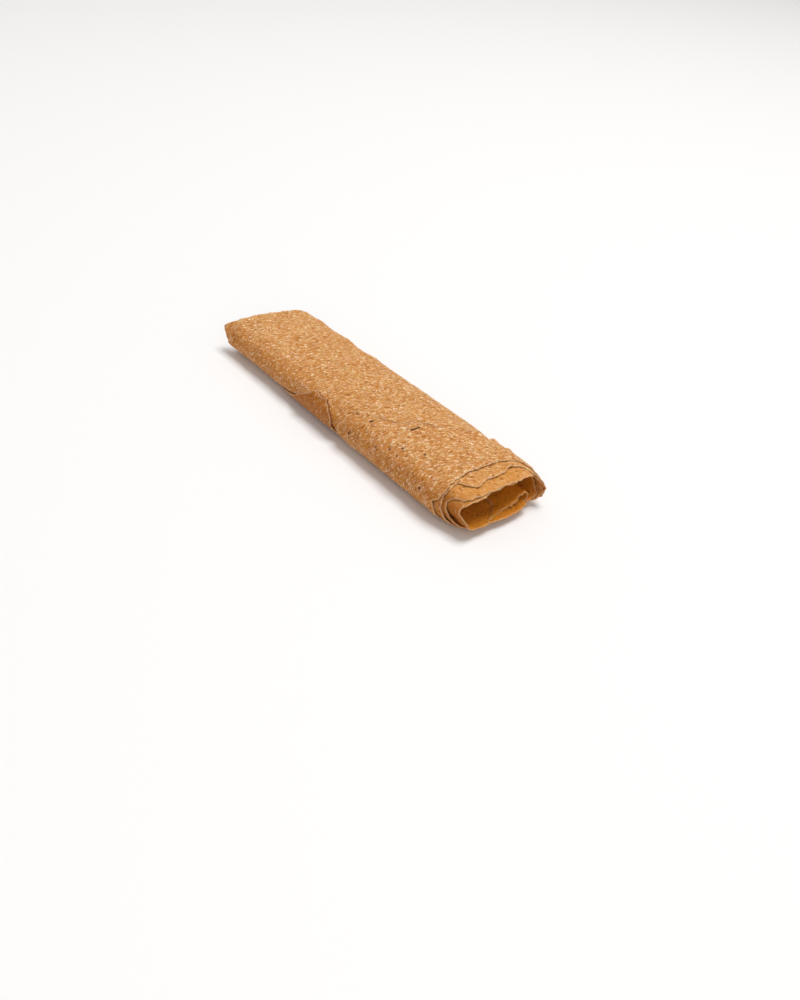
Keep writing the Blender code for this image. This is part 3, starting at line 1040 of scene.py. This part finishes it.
@dataclass(frozen=True)
class BakedRelief:
    """The geometry node tree that bakes pits, blisters and grain into the sheet's skins."""

    pattern: PorePattern = PorePattern()
    pit_depth: float = 0.1 * MM
    fine_depth: float = 0.05 * MM
    dash_depth: float = 0.09 * MM
    fleck_height: float = 0.06 * MM
    lace_height: float = 0.34 * MM
    swell_height: float = 0.16 * MM
    swell_scale: float = 0.5
    edge_share: float = 0.25
    sheltered_loss: float = 0.4

    def tree(self) -> Tree:
        """Return the tree, with one named input for each depth and height."""
        tree = geometry_tree("baked_relief", self.values())
        sketch = Sketch(tree)
        given = tree.nodes["Group Input"].outputs
        flat = stored(sketch, "flat_mm", "FLOAT_VECTOR")
        masks = self.pattern.draw(sketch, flat)
        height = sketch.math("MULTIPLY", sketch.math("SUBTRACT", masks["lace"], 0.5), given["Lace Height"])
        swell = sketch.math("SUBTRACT", sketch.noise(flat, self.swell_scale).outputs[0], 0.5)
        height = sketch.math("MULTIPLY_ADD", swell, given["Swell Height"], height)
        height = sketch.math("MULTIPLY_ADD", masks["flecks"], given["Fleck Height"], height)
        for mask, depth in (("pits", "Pit Depth"), ("fine_pits", "Fine Depth"), ("dashes", "Dash Depth")):
            height = sketch.math("SUBTRACT", height, sketch.math("MULTIPLY", masks[mask], given[depth]))
        inside = sketch.math("MULTIPLY_ADD", stored(sketch, "inside"), 1.0 - self.edge_share, self.edge_share)
        sheltered = sketch.math("MULTIPLY_ADD", stored(sketch, "sheltered"), -self.sheltered_loss, 1.0)
        for share in (inside, sheltered, off_ground(sketch)):
            height = sketch.math("MULTIPLY", height, share)
        offset = sketch.scaled(stored(sketch, "outward", "FLOAT_VECTOR"), height)
        moved = sketch.add("GeometryNodeSetPosition", given["Geometry"], named={"Offset": offset})
        finish_tree(sketch, moved.outputs[0], given["Material"])
        return tree

    def values(self) -> dict[str, float]:
        """Return a value for each of the tree's numbers."""
        return {
            "Pit Depth": self.pit_depth,
            "Fine Depth": self.fine_depth,
            "Dash Depth": self.dash_depth,
            "Fleck Height": self.fleck_height,
            "Lace Height": self.lace_height,
            "Swell Height": self.swell_height,
        }


@dataclass(frozen=True)
class Blisters:
    """The geometry node tree that scatters small baked blisters over the outermost turn."""

    name: str = "crepe_blisters"
    density: float = 1.3e6
    smallest: float = 0.07 * MM
    largest: float = 0.19 * MM
    flatness: float = 0.55
    narrowness: float = 0.7
    dome_detail: int = 2
    patch_scale: float = 0.45
    patch_edge: Span = (0.42, 0.62)
    seed: int = 7

    def tree(self) -> Tree:
        """Return the tree, with named inputs for how many there are and how big they are."""
        tree = geometry_tree(self.name, self.values())
        sketch = Sketch(tree)
        given = tree.nodes["Group Input"].outputs
        density = sketch.math("MULTIPLY", given["Density"], self.open_skin(sketch))
        settings = {"Density": density, "Seed": given["Seed"]}
        spread = sketch.add("GeometryNodeDistributePointsOnFaces", given["Geometry"], named=settings)
        squash = sketch.add("ShaderNodeCombineXYZ", 1.0, self.narrowness, given["Flatness"]).outputs[0]
        dome = sketch.add("GeometryNodeMeshIcoSphere", 1.0, self.dome_detail).outputs[0]
        dome = sketch.add("GeometryNodeTransform", dome, named={"Scale": squash}).outputs[0]
        dome = sketch.add("GeometryNodeSetShadeSmooth", dome).outputs[0]
        sizes = (None, None, given["Smallest"], given["Largest"])
        size = sketch.add("FunctionNodeRandomValue", *sizes, data_type="FLOAT").outputs[1]
        settings = {"Instance": dome, "Rotation": spread.outputs["Rotation"], "Scale": size}
        placed = sketch.add("GeometryNodeInstanceOnPoints", spread.outputs["Points"], named=settings)
        finish_tree(sketch, placed.outputs[0], given["Material"])
        return tree

    def open_skin(self, sketch: Sketch) -> Socket:
        """Return where blisters may stand: on the skin that shows, off the ground, in loose patches.

        Args:
            sketch: The tree's sketch.

        Returns:
            The mask's socket.
        """
        flat = stored(sketch, "flat_mm", "FLOAT_VECTOR")
        layer = sketch.add("ShaderNodeSeparateXYZ", flat).outputs["Z"]
        outer_skin = sketch.ramp(layer, INNER_LAYER / 2, INNER_LAYER / 4)
        patches = sketch.ramp(sketch.noise(flat, self.patch_scale).outputs[0], *self.patch_edge)
        return sketch.math("MULTIPLY", sketch.math("MULTIPLY", outer_skin, patches), off_ground(sketch))

    def values(self) -> dict[str, float]:
        """Return a value for each of the tree's numbers."""
        return {
            "Seed": self.seed,
            "Density": self.density,
            "Smallest": self.smallest,
            "Largest": self.largest,
            "Flatness": self.flatness,
        }


@dataclass(frozen=True)
class CrepeFinish:
    """Baked crepe: caramel tan batter with browned pits, pale webs and a dusty bloom."""

    name: str = "baked_crepe_lace"
    batter: Triple = (0.67, 0.335, 0.115)
    pale: Triple = (0.97, 0.73, 0.46)
    browned: Triple = (0.36, 0.105, 0.009)
    toasted: Triple = (0.55, 0.2, 0.03)
    flap: Triple = (0.39, 0.115, 0.009)
    bloom: Triple = (0.66, 0.37, 0.23)
    # A browner inside, deepened into painted shade and warm bounce light in the hollow and between the turns.
    inside_tone_and_shade: Triple = (0.68, 0.24, 0.01)
    # Painted shade for the inner turns under the outer ones.
    sheltered: Triple = (0.68, 0.285, 0.055)
    # Dark brown for burned rims and for painted shadow lines.
    burnt: Triple = (0.23, 0.055, 0.006)
    glint: Triple = (1.0, 0.86, 0.68)
    tone_inputs: tuple[str, ...] = ("Inside", "Hollow", "Sheltered", "Burnt", "Flap", "Side")
    blotch_scale: float = 0.14
    blotch_edge: Span = (0.4, 0.62)
    dust_scale: float = 0.3
    dust_edge: Span = (0.4, 0.65)
    low_lace: Span = (0.49, 0.34)
    high_lace: Span = (0.51, 0.67)
    patch_detail: float = 3.0
    torn_sharpness: float = 2.0
    roughness: float = 0.5
    pit_roughness: float = 0.2
    specular: float = 0.14
    scatter: float = 0.3
    scatter_colour: Triple = (1.0, 0.45, 0.15)
    scatter_reach: float = 0.45 * MM
    bump_height: float = 0.13 * MM
    grain_scale: float = 5.0
    # How much each mask adds to the grain's height.
    bumps: tuple[tuple[str, float], ...] = (("fine_pits", -0.5), ("pits", -0.5), ("lace", 1.2))
    pattern: PorePattern = PorePattern()

    def material(self) -> bpy.types.Material:
        """Return the finished material."""
        material = bpy.data.materials.new(self.name)
        material.use_nodes = True
        sketch = Sketch(material.node_tree)
        given = {"Flat": sketch.add("ShaderNodeAttribute", attribute_name="flat_mm").outputs["Vector"]}
        for name in self.tone_inputs:
            given[name] = sketch.add("ShaderNodeAttribute", attribute_name=name.lower()).outputs["Fac"]
        tone = sketch.add("ShaderNodeGroup", named=given, node_tree=self.tone_group()).outputs
        settings = {"Strength": 1.0, "Distance": self.bump_height, "Height": tone["Height"]}
        bump = sketch.add("ShaderNodeBump", named=settings)
        sketch.plug(material.node_tree.nodes["Principled BSDF"], {
            "Base Color": tone["Color"],
            "Roughness": tone["Roughness"],
            "Normal": bump.outputs["Normal"],
            "Subsurface Weight": self.scatter,
            "Subsurface Radius": self.scatter_colour,
            "Subsurface Scale": self.scatter_reach,
            "Specular IOR Level": self.specular,
        })
        return material

    def tone_group(self) -> Tree:
        """Return the group that turns the flat coordinates into colour, roughness and height."""
        inputs = {"Flat": "NodeSocketVector"} | {name: "NodeSocketFloat" for name in self.tone_inputs}
        outputs = {"Color": "NodeSocketColor", "Roughness": "NodeSocketFloat", "Height": "NodeSocketFloat"}
        tree = new_group("crepe_tone", "ShaderNodeTree", inputs, outputs)
        sketch = Sketch(tree)
        given = tree.nodes["Group Input"].outputs
        masks = self.pattern.draw(sketch, given["Flat"])
        height = sketch.noise(given["Flat"], self.grain_scale, self.patch_detail).outputs[0]
        for mask, share in self.bumps:
            height = sketch.math("MULTIPLY_ADD", masks[mask], share, height)
        sketch.plug(tree.nodes["Group Output"], {
            "Color": self.colour(sketch, given, masks),
            "Roughness": sketch.math("MULTIPLY_ADD", masks["pits"], self.pit_roughness, self.roughness),
            "Height": height,
        })
        return tree

    def colour(self, sketch: Sketch, given: bpy.types.NodeInputs, masks: dict[str, Socket]) -> Socket:
        """Lay the colours over each other.

        Args:
            sketch: The group's tree.
            given: The group's inputs.
            masks: The pore pattern's masks.

        Returns:
            The colour of the surface.
        """
        blotch = sketch.noise(given["Flat"], self.blotch_scale, self.patch_detail).outputs[0]
        dust = sketch.noise(given["Flat"], self.dust_scale, self.patch_detail).outputs[0]
        dust = sketch.math("MULTIPLY", sketch.ramp(dust, *self.dust_edge), given["Side"])
        # How near each point is to a torn edge, for the painted highlight along it.
        torn = sketch.math("POWER", sketch.math("SUBTRACT", 1.0, given["Inside"]), self.torn_sharpness)
        open_glints = sketch.math("MULTIPLY", masks["glints"], sketch.math("SUBTRACT", 1.0, given["Hollow"]))
        shaded = sketch.math("MULTIPLY", given["Side"], given["Sheltered"])
        # Each layer's mask, strength and colour, from the bottom up.
        layers = [
            (sketch.ramp(blotch, *self.blotch_edge), 0.35, self.toasted),
            # Painted shade: the side facing away from the light is darker and more orange.
            (given["Side"], 0.85, self.toasted),
            (dust, 0.4, self.bloom),
            (given["Flap"], 0.7, self.flap),
            (sketch.ramp(masks["lace"], *self.low_lace), 0.95, self.toasted),
            (sketch.ramp(masks["lace"], *self.high_lace), 0.95, self.pale),
            (masks["fine_pits"], 0.65, self.toasted),
            (masks["dashes"], 0.8, self.flap),
            (masks["flecks"], 0.4, self.pale),
            # More painted shade on that side.
            (given["Side"], 0.25, self.toasted),
            (given["Flap"], 0.5, self.flap),
            # Painted shade on the inner turns under the outer ones.
            (given["Sheltered"], 0.7, self.sheltered),
            # Deeper painted shade where the sheltered inner turns face that side.
            (shaded, 0.85, self.flap),
            # Painted shade and warm bounce light in the hollow and on the inner skins, over a browner inside.
            (given["Hollow"], 0.9, self.inside_tone_and_shade),
            (masks["pits"], 0.7, self.browned),
            # Painted highlight along the torn edges.
            (torn, 0.35, self.pale),
            (open_glints, 0.4, self.glint),
            # Burned rims, and painted shadow lines along and under the outer end.
            (given["Burnt"], 0.95, self.burnt),
        ]
        colour = rgba(self.batter)
        for mask, strength, tone in layers:
            colour = sketch.mixed(sketch.math("MULTIPLY", mask, strength), colour, rgba(tone))
        return colour


def rgba(colour: Triple) -> tuple[float, float, float, float]:
    """Return a colour with full cover."""
    return (*colour, 1.0)


@dataclass(frozen=True)
class SoftLight:
    """A square soft light that points at the roll, with its side in metres and its power in watts."""

    name: str
    place: Triple
    side: float
    power: float

    def hang(self) -> None:
        """Hang the light."""
        lamp = bpy.data.lights.new(self.name, "AREA")
        lamp.size = self.side
        lamp.energy = self.power
        holder = add_object(lamp)
        holder.location = self.place
        holder.rotation_euler = (-Vector(self.place)).to_track_quat("-Z", "Y").to_euler()


@dataclass
class Studio:
    """The pale floor, the soft light and the camera at the photograph's viewing angle."""

    floor_half: float = 1.6
    floor_colour: Triple = (0.88, 0.87, 0.86)
    floor_roughness: float = 0.7
    world_colour: Triple = (1.0, 1.0, 1.0)
    world_strength: float = 0.42
    lights: tuple[SoftLight, ...] = (
        SoftLight("key_light", (-0.05, 0.28, 1.1), side=0.6, power=9.5),
        SoftLight("front_light", (0.75, -0.5, 0.45), side=0.6, power=1.8),
    )
    lens: float = 34.2
    nearest_seen: float = 0.01
    place: Triple = (138.2 * MM, -111.0 * MM, 110.4 * MM)
    right: Triple = (0.6129, 0.7855, 0.0852)
    look: Triple = (-0.6002, 0.5330, -0.5964)

    def build(self) -> None:
        """Build the floor, the lights and the camera."""
        bpy.context.scene.view_settings.view_transform = "Standard"
        self.floor()
        for light in self.lights:
            light.hang()
        self.world()
        self.camera()

    def floor(self) -> None:
        """Lay a plain pale floor under the roll."""
        side = self.floor_half
        corners = [(-side, -side, 0.0), (side, -side, 0.0), (side, side, 0.0), (-side, side, 0.0)]
        mesh = bpy.data.meshes.new("floor")
        mesh.from_pydata(corners, [], [(0, 1, 2, 3)])
        material = bpy.data.materials.new("pale_floor")
        material.use_nodes = True
        shader = material.node_tree.nodes["Principled BSDF"]
        shader.inputs["Base Color"].default_value = rgba(self.floor_colour)
        shader.inputs["Roughness"].default_value = self.floor_roughness
        mesh.materials.append(material)
        floor = add_object(mesh)

    def world(self) -> None:
        """Surround the roll with soft white light."""
        world = bpy.data.worlds.new("studio")
        world.use_nodes = True
        background = world.node_tree.nodes["Background"]
        background.inputs["Color"].default_value = rgba(self.world_colour)
        background.inputs["Strength"].default_value = self.world_strength
        bpy.context.scene.world = world

    def camera(self) -> None:
        """Place the camera where the photograph was taken from."""
        lens = bpy.data.cameras.new("camera")
        lens.lens = self.lens
        lens.clip_start = self.nearest_seen
        lens.dof.use_dof = False
        camera = add_object(lens)
        back = -Vector(self.look).normalized()
        right = Vector(self.right).normalized()
        up = back.cross(right).normalized()
        turn = Matrix((right, up, back)).transposed().to_4x4()
        camera.matrix_world = Matrix.Translation(Vector(self.place)) @ turn
        bpy.context.scene.camera = camera


def pair(bounds: tuple[Vector, Vector]) -> list[list[float]]:
    """Return a box as plain lists."""
    return [list(corner) for corner in bounds]


def scatter(blisters: Blisters, turns: list[Turn], material: bpy.types.Material) -> bpy.types.Object:
    """Scatter blisters over some turns of the sheet.

    Args:
        blisters: How many there are and how big.
        turns: The turns that carry them.
        material: Their material.

    Returns:
        One piece with all the blisters.
    """
    bearing = bpy.data.meshes.new(blisters.name)
    merged = bmesh.new()
    for turn in turns:
        merged.from_mesh(bpy.data.objects[turn.value].data)
    merged.to_mesh(bearing)
    merged.free()
    piece = add_object(bearing)
    apply_tree(piece, blisters.tree(), blisters.values() | {"Material": material})
    return piece


def hand_over(piece: bpy.types.Object) -> None:
    """Tie a finished piece to the part.

    Args:
        piece: The piece, with its last mesh and material.
    """
    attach(piece, BODY)
    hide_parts(NODE)
    triangles = sum(len(face.vertices) - 2 for face in piece.data.polygons)
    LOG.info("%s: %d triangles", piece.name, triangles)


def main() -> None:
    """Build the sheet and the studio, and report each piece."""
    logging.basicConfig(level=logging.INFO, format="%(name)s: %(message)s")
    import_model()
    form = RollForm()
    outline = TornOutline(form)
    form.fit_to(*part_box(NODE), outline.ends())
    sheet = CrepeSheet(form, outline, BrowningAndPaintedShade(form, outline))
    relief = BakedRelief()
    relief_tree = relief.tree()
    material = CrepeFinish().material()
    for stretch in sheet.stretches:
        piece = sheet.build(stretch)
        apply_tree(piece, relief_tree, relief.values() | {"Material": material})
        hand_over(piece)
    hand_over(scatter(Blisters(), [Turn.LAST_LEFT, Turn.LAST_RIGHT], material))
    Studio().build()


if __name__ == "__main__":
    main()
